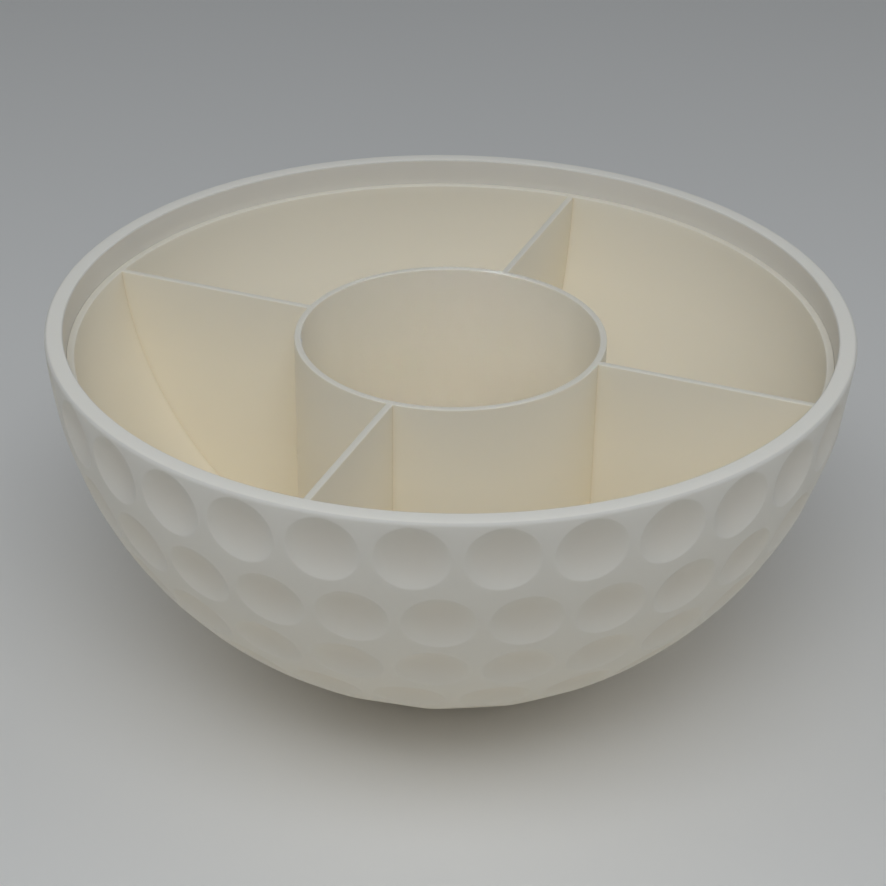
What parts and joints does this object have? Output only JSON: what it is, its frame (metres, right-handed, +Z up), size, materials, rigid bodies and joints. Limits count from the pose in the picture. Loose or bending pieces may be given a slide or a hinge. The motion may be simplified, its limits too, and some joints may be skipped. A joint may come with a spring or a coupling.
{
  "type": "divided snack bowl",
  "caption": "Round snack bowl shaped as half a dimpled ball, with a lift-out tray that divides it into a centre cup and side compartments.",
  "frame": {"origin": "middle of the flat base that the bowl stands on", "axes": "+Z up along the bowl's axis, +X along one divider of the insert, +Y along the next"},
  "size_m": [0.24, 0.24, 0.1136],
  "materials": {
    "bowl_print": "white printed plastic, satin, with fine level layer lines",
    "insert_print": "white printed plastic, satin, with fine level layer lines"
  },
  "bodies": {
    "bowl": {"dimpled_bowl": "bowl_print"},
    "insert": {"divider_insert": "insert_print"}
  },
  "joints": [
    {"name": "insert_lift", "type": "slide", "parent": "bowl", "child": "insert", "axis": [0, 0, 1], "range_m": [0, 0.12]}
  ]
}
